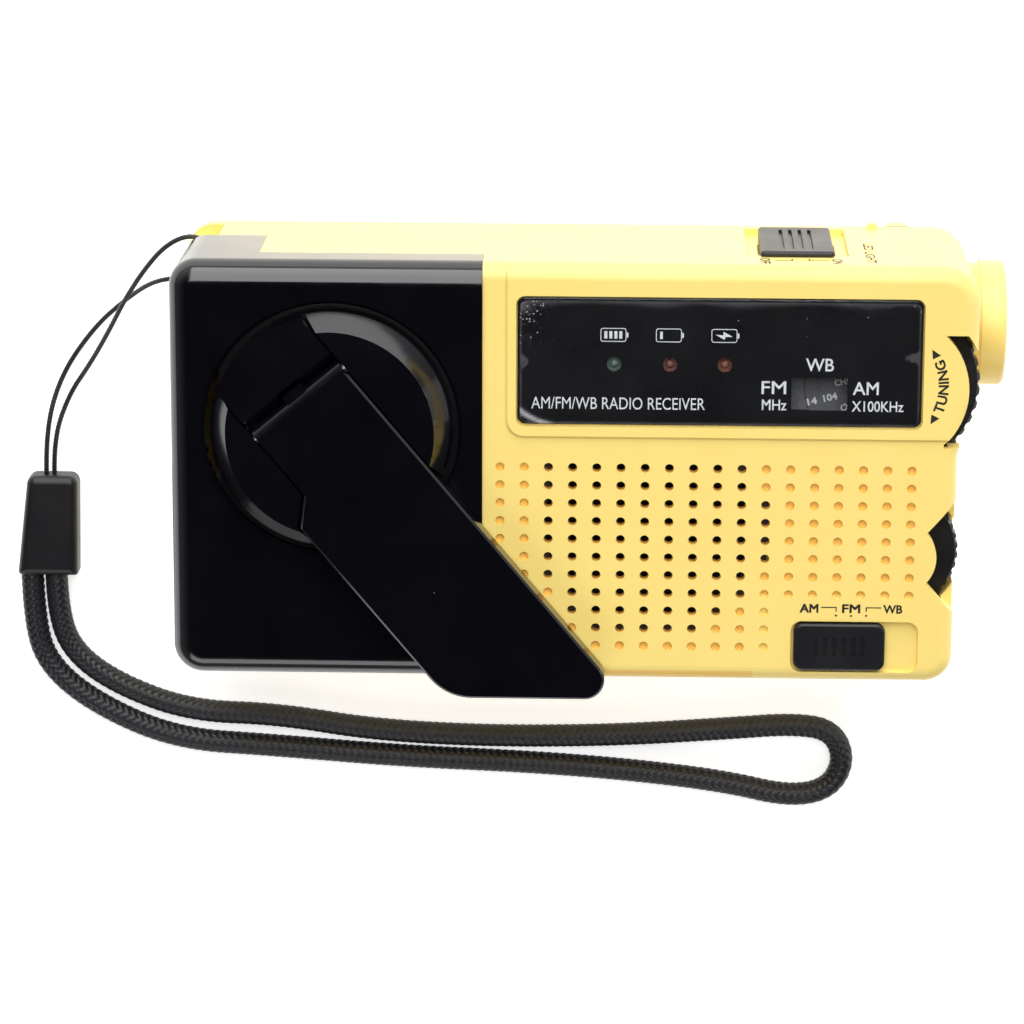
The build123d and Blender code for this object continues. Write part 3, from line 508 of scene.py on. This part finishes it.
def flat_word(text, weight=0.0):
    """A word as flat letters, its left end and baseline at the origin, with its cap height 1."""
    curve = bpy.data.curves.new(text, "FONT")
    curve.body = text
    curve.offset = weight
    curve.resolution_u = 5
    curve.extrude = 0.001
    holder = bpy.data.objects.new(text, curve)
    mesh = bpy.data.meshes.new_from_object(holder)
    bpy.data.objects.remove(holder)
    low = min(vertex.co.x for vertex in mesh.vertices)
    tall = max(vertex.co.y for vertex in mesh.vertices)
    for vertex in mesh.vertices:
        thick = INK / MM if vertex.co.z > 0 else 0.0
        vertex.co = Vector(((vertex.co.x - low) / tall, vertex.co.y / tall, thick))
    return mesh


class Print:
    """Ink on one surface: letters, lines and shapes, gathered into one piece.

    place takes the surface's own x to the right, y up and z outward, in millimetres, to the model.
    """

    def __init__(self, place):
        self.form = bmesh.new()
        self.place = place

    def take(self, mesh, bend=None):
        for vertex in mesh.vertices:
            x, y, z = vertex.co
            if bend:
                x, y = bend(x, y)
            vertex.co = self.place @ (Vector((x, y, z)) * MM)
        self.form.from_mesh(mesh)
        bpy.data.meshes.remove(mesh)

    def word(self, text, centre, height, width, weight=0.0, turn=0.0, bend=None):
        """A word centred on a point, of a cap height and a width, turned by turn degrees.

        The font's M folds over itself when it is thickened, so such a word is thickened by shifting it.
        """
        shifts = [(0.0, 0.0)]
        if "M" in text:
            more = weight * height / 0.7
            shifts = [(-more, -more), (more, -more), (-more, more), (more, more)]
            weight = 0.0
        a = radians(turn)
        for lift, (dx, dy) in enumerate(shifts):
            mesh = flat_word(text, weight)
            wide = max(vertex.co.x for vertex in mesh.vertices)
            for vertex in mesh.vertices:
                x = (vertex.co.x / wide - 0.5) * width + dx
                y = (vertex.co.y - 0.5) * height + dy
                vertex.co.x = centre[0] + x * cos(a) - y * sin(a)
                vertex.co.y = centre[1] + x * sin(a) + y * cos(a)
                vertex.co.z += 0.001 * lift
            self.take(mesh, bend)

    def shape(self, points):
        """A filled outline."""
        slab(self.form, points, 0.0, INK / MM, self.place)

    def bar(self, x0, x1, y0, y1):
        self.shape([(x0, y0), (x1, y0), (x1, y1), (x0, y1)])

    def dot(self, x, y, radius):
        self.shape([(x + radius * cos(pi * k / 8), y + radius * sin(pi * k / 8)) for k in range(16)])

    def frame(self, centre, width, height, corner, line):
        """A rounded outline of a line's width, as a ring of small quads."""
        x, y = centre
        loops = []
        for inset in (0.0, line):
            points = []
            for quarter, (sx, sy) in enumerate(((1, 1), (-1, 1), (-1, -1), (1, -1))):
                cx, cy = x + sx * (width / 2 - corner), y + sy * (height / 2 - corner)
                for step in range(5):
                    a = pi / 2 * (quarter + step / 4)
                    points.append((cx + (corner - inset) * cos(a), cy + (corner - inset) * sin(a)))
            loops.append(points)
        outer, inner = loops
        for index in range(len(outer)):
            after = (index + 1) % len(outer)
            self.shape([outer[index], outer[after], inner[after], inner[index]])

    def finish(self, name, material, body, slot):
        return add_piece(name, as_mesh(self.form, name), material, body)


def on_front(height):
    """The front's own axes are the model's; height is where the ink lies."""
    return Matrix.Translation((0, 0, height))


def on_top(height):
    """Seen from above the top side: x to the right, y towards the back."""
    return Matrix(((1, 0, 0, 0), (0, 0, 1, height), (0, -1, 0, 0), (0, 0, 0, 1)))


def ink(name, colour):
    finish = Finish(name)
    shade = tuple(0.82 * part for part in colour)
    finish.drive("Base Color", finish.mix(finish.spread(finish.noise(0.5), 0.35, 0.65), shade, colour))
    finish.drive("Roughness", finish.spread(finish.noise(0.8), 0.3, 0.7, 0.45, 0.6))
    finish.relief(finish.noise(0.2), 0.004)
    return finish.material


white_ink = ink("white_ink", (0.86, 0.87, 0.90))
dial_ink = ink("dial_ink", (0.96, 0.96, 0.98))
black_ink = ink("black_ink", (0.014, 0.009, 0.006))
grey_ink = ink("grey_ink", (0.165, 0.165, 0.19))

lens_lo, lens_hi = (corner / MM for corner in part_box("display_lens"))
mask_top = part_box("display_mask")[1].z
led_lo, led_hi = (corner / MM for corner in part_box("indicator_leds"))
led_r = (led_hi.y - led_lo.y) / 2
LED_X = [led_lo.x + led_r, (led_lo.x + led_hi.x) / 2, led_hi.x - led_r]


# The battery icons' width, height, corner and line, how far they stand left of the lamps, and how high.
BATTERY, ICON_SHIFT, ICON_RISE = (4.25, 2.3, 0.42, 0.13), -0.15, 15.1
BOLT = [(-1.5, 0.2), (0.05, -0.66), (0.2, -0.16), (1.4, -0.16), (-0.15, 0.7), (-0.2, 0.08)]
# Each label's text, its middle from the window's lower left corner, cap height, width and weight.
DISPLAY_LABELS = [
    ("AM/FM/WB RADIO RECEIVER", 16.6, 3.6, 2.0, 28.6, 0.0),
    ("WB", 49.7, 10.4, 2.1, 4.6, 0.010),
    ("FM", 42.2, 6.5, 2.1, 4.0, 0.010),
    ("AM", 57.3, 6.5, 2.1, 4.2, 0.010),
    ("MHz", 42.3, 3.6, 1.75, 4.0, 0.008),
    ("X100KHz", 59.3, 3.5, 1.75, 8.5, 0.008),
]


def display_printing():
    """White printing under the display's clear panel: a full, a flat and a charging battery, and words."""
    sheet = Print(on_front(mask_top + 0.2 * INK))
    icon_y = lens_lo.y + ICON_RISE
    full, flat, charging = (x + ICON_SHIFT for x in LED_X)
    for x in (full, flat, charging):
        sheet.frame((x, icon_y), *BATTERY)
        sheet.bar(x + 2.17, x + 2.45, icon_y - 0.4, icon_y + 0.4)
    levels = [(full - 1.5 + 0.82 * level, 0.5) for level in range(4)] + [(flat - 1.45, 0.45)]
    for x, width in levels:
        sheet.bar(x, x + width, icon_y - 0.62, icon_y + 0.62)
    sheet.shape([(charging + x, icon_y + y) for x, y in BOLT])
    for text, x, y, height, width, weight in DISPLAY_LABELS:
        sheet.word(text, (lens_lo.x + x, lens_lo.y + y), height, width, weight)
    sheet.finish("display_lettering", white_ink, "root", "display_print")


display_printing()


# ---- tuning dial ----------------------------------------------------------------------------
wheel_lo, wheel_hi = (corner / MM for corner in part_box("tuning_wheel"))
DIAL_X, DIAL_Y = (wheel_lo.x + wheel_hi.x) / 2, (wheel_lo.y + wheel_hi.y) / 2
DIAL_TOP = wheel_hi.z
DIAL_INNER, DIAL_BARE, DIAL_OUTER = 4.0, 9.8, 14.2
DIAL_SECTOR = (48.0, 231.0)
CARD_THICK, CARD_BEVEL = 0.1, (0.08, 0.04)
AM_MARKS = ["5.3", "6", "7", "8", "10", "12", "14", "16"]
FM_MARKS = ["88", "90", "92", "94", "98", "101", "104", "108"]
AM_EDGE, FM_MIDDLE, CHANNEL_MIDDLE = 14.1, 10.2, 8.0
AM_LETTER, FM_LETTER = 0.82, 0.78
MARK_STEP, CHANNEL_STEP = 22.0, 29.0
SHOWN_MARK, SHOWN_BEARING = 6, 193.5
SHOWN_CHANNEL, CHANNEL_BEARING, CHANNEL_TILT = 5, 178.5, 12.0
SURROUND_LEFT, SURROUND_LOW, SURROUND_HIGH = 36.78, 9.58, 16.72
SURROUND_RIM, SURROUND_Z = 14.3, (0.12, 0.3)


def round_dial(radius, bearing):
    """The point at a radius and a bearing in degrees round the tuning wheel's axis."""
    a = radians(bearing)
    return DIAL_X + radius * cos(a), DIAL_Y + radius * sin(a)


def dial_card():
    """A thin grey card glued to the tuning wheel's face, wider along the marks."""
    form = bmesh.new()
    sides = 120
    first, last = (round(sides * bearing / 360) for bearing in DIAL_SECTOR)
    section = ((None, 0.0), (None, CARD_THICK), (CARD_BEVEL[0], CARD_THICK),
               (0.0, CARD_THICK - CARD_BEVEL[1]), (0.0, 0.0))
    rings = []
    for inset, z in section:
        ring = []
        for k in range(sides):
            outer = DIAL_OUTER if first <= k <= last else DIAL_BARE
            radius = DIAL_INNER if inset is None else outer - inset
            ring.append(form.verts.new(Vector((*round_dial(radius, 360 * k / sides), DIAL_TOP + z)) * MM))
        rings.append(ring)
    for ring, after in zip(rings, rings[1:] + rings[:1]):
        for k in range(sides):
            n = (k + 1) % sides
            form.faces.new((ring[k], ring[n], after[n], after[k]))
    add_piece("dial_card", as_mesh(form, "dial_card"), grey_ink, "tuning")


def dial_numbers():
    """The wheel's three scales: AM outermost, then FM, then the weather channels."""
    sheet = Print(on_front((DIAL_TOP + CARD_THICK + 0.01) * MM))
    for index, (am, fm) in enumerate(zip(AM_MARKS, FM_MARKS)):
        bearing = SHOWN_BEARING - MARK_STEP * (SHOWN_MARK - index)
        am_width, fm_width = AM_LETTER * len(am), FM_LETTER * len(fm)
        for mark, radius, width in ((am, AM_EDGE - am_width / 2, am_width), (fm, FM_MIDDLE, fm_width)):
            sheet.word(mark, round_dial(radius, bearing), 1.15, width, 0.035, bearing - 180)
    for channel in range(1, 8):
        bearing = CHANNEL_BEARING + CHANNEL_STEP * (SHOWN_CHANNEL - channel)
        sheet.word(f"CH{channel}", round_dial(CHANNEL_MIDDLE, bearing), 1.05, 2.5, 0.03,
                   bearing - 180 + CHANNEL_TILT)
    sheet.finish("dial_numbers", dial_ink, "tuning", "display_print")


def dial_surround():
    """A fixed grey plate left of the tuning wheel, hollowed to follow the wheel's rim."""
    outline = [(SURROUND_LEFT, SURROUND_HIGH), (SURROUND_LEFT, SURROUND_LOW)]
    steps = 12
    for step in range(steps + 1):
        y = SURROUND_LOW + (SURROUND_HIGH - SURROUND_LOW) * step / steps
        outline.append((DIAL_X - sqrt(SURROUND_RIM ** 2 - (y - DIAL_Y) ** 2), y))
    form = bmesh.new()
    slab(form, outline, *(DIAL_TOP + z for z in SURROUND_Z))
    add_piece("dial_surround", as_mesh(form, "dial_surround"), grey_ink, "root")


dial_card()
dial_numbers()
dial_surround()


# ---- printing on the case -------------------------------------------------------------------
ARC_X, ARC_Y, ARC_R = DIAL_X - 2.5, DIAL_Y + 0.75, 10.85
ARROW_AT = 5.9


def round_wheel(x, y):
    """Bends a line of print round the tuning wheel: it reads upwards, its letters' tops to the left."""
    a = x / ARC_R
    return ARC_X + (ARC_R - y) * cos(a), ARC_Y + (ARC_R - y) * sin(a)


def tuning_printing():
    """Black printing round the tuning wheel: its name between two arrowheads."""
    sheet = Print(on_front(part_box("front_shell")[1].z))
    sheet.word("TUNING", (0, 0), 1.65, 8.9, 0.03, bend=round_wheel)
    half = 0.75
    for way in (1, -1):
        tip, base = way * (ARROW_AT + half), way * (ARROW_AT - half)
        sheet.shape([round_wheel(x, y) for x, y in ((tip, 0.0), (base, half), (base, -half))])
    sheet.finish("tuning_print", black_ink, "root", "display_print")


def band_printing():
    """The band switch's labels, with a bracket and a dot for each place of its knob."""
    knob_lo, knob_hi = (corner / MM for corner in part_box("band_switch_knob"))
    middle = knob_lo.x + 9.5
    line_y = knob_hi.y + 2.55
    sheet = Print(on_front(surface_below("front_shell", middle, line_y)))
    for text, x, width in (("AM", middle - 7.0, 3.0), ("FM", middle, 2.9), ("WB", middle + 6.9, 3.2)):
        sheet.word(text, (x, line_y), 1.4, width, 0.032)
    for way in (-1, 1):
        inner, outer = middle + way * 2.5, middle + way * 5.0
        sheet.bar(min(inner, outer), max(inner, outer), line_y + 0.1, line_y + 0.28)
        sheet.bar(inner - 0.09, inner + 0.09, line_y - 0.5, line_y + 0.28)
        sheet.dot(inner, line_y - 1.2, 0.18)
    sheet.dot(middle, line_y - 1.25, 0.18)
    sheet.finish("band_print", black_ink, "root", "display_print")


def top_printing():
    """Labels of the lamp switch on the top side, read from the back to the front."""
    knob_lo, knob_hi = (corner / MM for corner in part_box("power_switch_knob"))
    middle = (knob_lo.x + knob_hi.x) / 2
    label_y = -(knob_hi.z + 3.3)
    line_y = label_y + 0.4
    sheet = Print(on_top(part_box("front_shell")[1].y))
    sheet.word("OFF", (middle - 5.4, label_y), 1.7, 4.8, 0.02, -90)
    sheet.word("ON", (middle + 6.5, label_y), 1.7, 4.2, 0.02, -90)
    for inner, outer in ((middle - 0.95, middle - 3.8), (middle + 1.85, middle + 5.3)):
        sheet.bar(min(inner, outer), max(inner, outer), line_y, line_y + 0.35)
        sheet.bar(inner - 0.14, inner + 0.14, line_y, line_y + 1.5)
    sheet.word("LED LIGHT", (middle + 12.1, label_y + 7.6), 1.6, 17.2, 0.02, -90)
    sheet.finish("lamp_switch_print", black_ink, "root", "display_print")


tuning_printing()
band_printing()
top_printing()


# ---- protective film on the display ---------------------------------------------------------
FILM_COLUMNS, FILM_ROWS = 176, 58
FILM_INSET, FILM_CORNER, FILM_GAP, FILM_THICK = 0.45, 1.1, 0.02, 0.05


def film_material():
    """Thin clear film: milky where it has lifted, with trapped bubbles in one corner."""
    finish = Finish("film")
    tree = finish.tree
    milk = finish.node("ShaderNodeAttribute", attribute_name="milk").outputs["Fac"]
    bubbles = finish.node("ShaderNodeAttribute", attribute_name="bubbles").outputs["Fac"]
    near = finish.node("ShaderNodeTexVoronoi")
    near.inputs["Scale"].default_value = 1 / (0.42 * MM)
    tree.links.new(finish.place, near.inputs["Vector"])
    spot = finish.spread(near.outputs["Distance"], 0.16, 0.25, 1, 0)
    patches = finish.spread(finish.noise(1.6, 2), 0.45, 0.58)
    crowded = finish.math("GREATER_THAN", bubbles, 0.3)
    crowd = finish.math("MULTIPLY", finish.specks(0.55, 0.24, 0.5), crowded)
    trapped = finish.math("MULTIPLY", finish.math("MULTIPLY", spot, bubbles), patches)
    trapped = finish.math("ADD", finish.math("MULTIPLY", trapped, 0.5), crowd)
    dust = finish.math("ADD", finish.specks(1.9, 0.05, 0.10), finish.specks(4.1, 0.03, 0.25))
    uneven = finish.spread(finish.noise(1.2, 3), 0.3, 0.6, 0.55, 1)
    lifted = finish.math("MULTIPLY", milk, uneven)
    cover = finish.math("ADD", lifted, finish.math("MULTIPLY", trapped, 0.42))
    cover = finish.math("MINIMUM", finish.math("ADD", cover, finish.math("MULTIPLY", dust, 0.35)), 1.0)
    finish.drive("Base Color", finish.mix(finish.noise(2), (0.50, 0.50, 0.54), (0.66, 0.66, 0.70)))
    finish.drive("Roughness", finish.spread(finish.noise(0.8), 0.3, 0.7, 0.2, 0.4))
    finish.relief(spot, 0.01)
    through = finish.node("ShaderNodeBsdfTransparent")
    both = finish.node("ShaderNodeMixShader")
    tree.links.new(cover, both.inputs[0])
    tree.links.new(through.outputs[0], both.inputs[1])
    tree.links.new(finish.shader.outputs[0], both.inputs[2])
    tree.links.new(both.outputs[0], tree.nodes["Material Output"].inputs["Surface"])
    return finish.material


def film_shape(u, v, width, height):
    """Lift, milkiness and bubbles at a point u, v millimetres from the film's lower left corner."""
    from_top, from_right = height - v, width - u
    waver = 0.5 + 0.5 * sin(0.37 * u + 0.9 * sin(0.21 * u))
    top_strip = exp(-(from_top / (0.35 + 0.45 * waver)) ** 2)
    rim = exp(-(min(u, from_right, v, from_top) / 0.22) ** 2)
    crease = exp(-((hypot(u - 6.6, v - 9.9) - 10.2) / 0.32) ** 2) if u < 5.5 and v < 3.0 else 0.0
    corner = exp(-(hypot(u, from_top) / 1.6) ** 2)
    round_tab = hypot(u, v - 0.5 * height) < 1.3
    beaked_tab = from_right + 2.6 * abs(v - 0.56 * height) < 3.0
    tabs = 1.0 if round_tab or beaked_tab else 0.0
    milk = max(0.06 * top_strip, 0.06 * rim, 0.50 * crease, 0.14 * corner, 0.05 * tabs)
    lift = 0.04 * top_strip + 0.08 * crease + 0.04 * rim
    bubbles = exp(-hypot(u / 3.6, from_top / 7.5) ** 2)
    bubbles += 0.5 * exp(-hypot(from_right, from_top) ** 2 / 5)
    return lift, milk, min(1.0, bubbles)


def protective_film():
    """The film over the display's window, as one closed sheet with rounded corners."""
    x0, x1 = lens_lo.x + FILM_INSET, lens_hi.x - FILM_INSET
    y0, y1 = lens_lo.y + FILM_INSET, lens_hi.y - FILM_INSET
    width, height = x1 - x0, y1 - y0
    form = bmesh.new()
    milk_layer = form.verts.layers.float.new("milk")
    bubble_layer = form.verts.layers.float.new("bubbles")
    sheets = []
    for layer in (0, 1):
        grid = []
        for row in range(FILM_ROWS + 1):
            v = height * row / FILM_ROWS
            into = max(0.0, FILM_CORNER - min(v, height - v))
            pull = FILM_CORNER - sqrt(FILM_CORNER ** 2 - into ** 2)
            line = []
            for column in range(FILM_COLUMNS + 1):
                u = pull + (width - 2 * pull) * column / FILM_COLUMNS
                lift, milk, bubbles = film_shape(u, v, width, height)
                z = lens_hi.z + FILM_GAP + lift + FILM_THICK * layer
                vert = form.verts.new(Vector((x0 + u, y0 + v, z)) * MM)
                vert[milk_layer] = milk
                vert[bubble_layer] = bubbles
                line.append(vert)
            grid.append(line)
        sheets.append(grid)
    for grid in sheets:
        for row in range(FILM_ROWS):
            for column in range(FILM_COLUMNS):
                form.faces.new((grid[row][column], grid[row][column + 1],
                                grid[row + 1][column + 1], grid[row + 1][column]))
    lower, upper = sheets
    rim = [(0, c) for c in range(FILM_COLUMNS)] + [(r, FILM_COLUMNS) for r in range(FILM_ROWS)]
    rim += [(FILM_ROWS, c) for c in range(FILM_COLUMNS, 0, -1)] + [(r, 0) for r in range(FILM_ROWS, 0, -1)]
    for (r0, c0), (r1, c1) in zip(rim, rim[1:] + rim[:1]):
        form.faces.new((lower[r0][c0], lower[r1][c1], upper[r1][c1], upper[r0][c0]))
    mesh = as_mesh(form, "display_film")
    add_piece("display_film", mesh, film_material(), "root", smooth=True)


protective_film()


# ---- floor, light and surroundings ----------------------------------------------------------
def make_floor():
    """A plain pale floor that glows a little, as it does under an even studio light."""
    form = bmesh.new()
    bmesh.ops.create_grid(form, x_segments=4, y_segments=4, size=3.0)
    mesh = as_mesh(form, "floor")
    floor = bpy.data.objects.new("floor", mesh)
    finish = Finish("floor_paper", Emission_Color=(1, 1, 1, 1), Emission_Strength=0.6)
    finish.drive("Base Color", finish.mix(finish.noise(40), (0.90, 0.90, 0.90), (0.92, 0.92, 0.92)))
    finish.drive("Roughness", finish.spread(finish.noise(5), 0.3, 0.7, 0.75, 0.85))
    finish.relief(finish.noise(1.0), 0.01)
    mesh.materials.append(finish.material)
    bpy.context.scene.collection.objects.link(floor)


def softbox(name, place, aim, width, height, power):
    """A rectangular area light that faces a point."""
    lamp = bpy.data.lights.new(name, "AREA")
    lamp.shape = "RECTANGLE"
    lamp.size, lamp.size_y = width, height
    lamp.energy = power
    holder = bpy.data.objects.new(name, lamp)
    holder.location = place
    holder.rotation_mode = "QUATERNION"
    holder.rotation_quaternion = (Vector(aim) - Vector(place)).to_track_quat("-Z", "Y")
    bpy.context.scene.collection.objects.link(holder)


def studio_world():
    """Grey walls, a white one behind the top side, and a dark ceiling."""
    world = bpy.data.worlds.new("studio")
    world.use_nodes = True
    tree = world.node_tree
    axes = tree.nodes.new("ShaderNodeSeparateXYZ")
    tree.links.new(tree.nodes.new("ShaderNodeTexCoord").outputs["Generated"], axes.inputs[0])
    shade = tree.nodes.new("ShaderNodeMath")
    shade.operation = "MULTIPLY"
    ranges = ((axes.outputs[1], (0.0, 0.8, 0.22, 0.88)), (axes.outputs[2], (0.30, 0.85, 1.0, 0.04)))
    for socket, (source, numbers) in zip(shade.inputs, ranges):
        ramp = tree.nodes.new("ShaderNodeMapRange")
        tree.links.new(source, ramp.inputs["Value"])
        for name, number in zip(("From Min", "From Max", "To Min", "To Max"), numbers):
            ramp.inputs[name].default_value = number
        tree.links.new(ramp.outputs[0], socket)
    background = tree.nodes["Background"]
    tree.links.new(shade.outputs[0], background.inputs["Color"])
    background.inputs["Strength"].default_value = 1.0
    bpy.context.scene.world = world


make_floor()
softbox("key_light", (0.05, 0.75, 0.80), (0, 0, 0.02), 1.0, 1.5, 17)
softbox("front_light", (-0.25, -0.95, 0.75), (0, 0, 0.02), 1.0, 0.5, 3.5)
softbox("side_light", (1.0, 0.1, 0.55), (0, 0, 0.02), 0.5, 0.8, 1.8)
studio_world()
bpy.context.scene.view_settings.view_transform = "Standard"
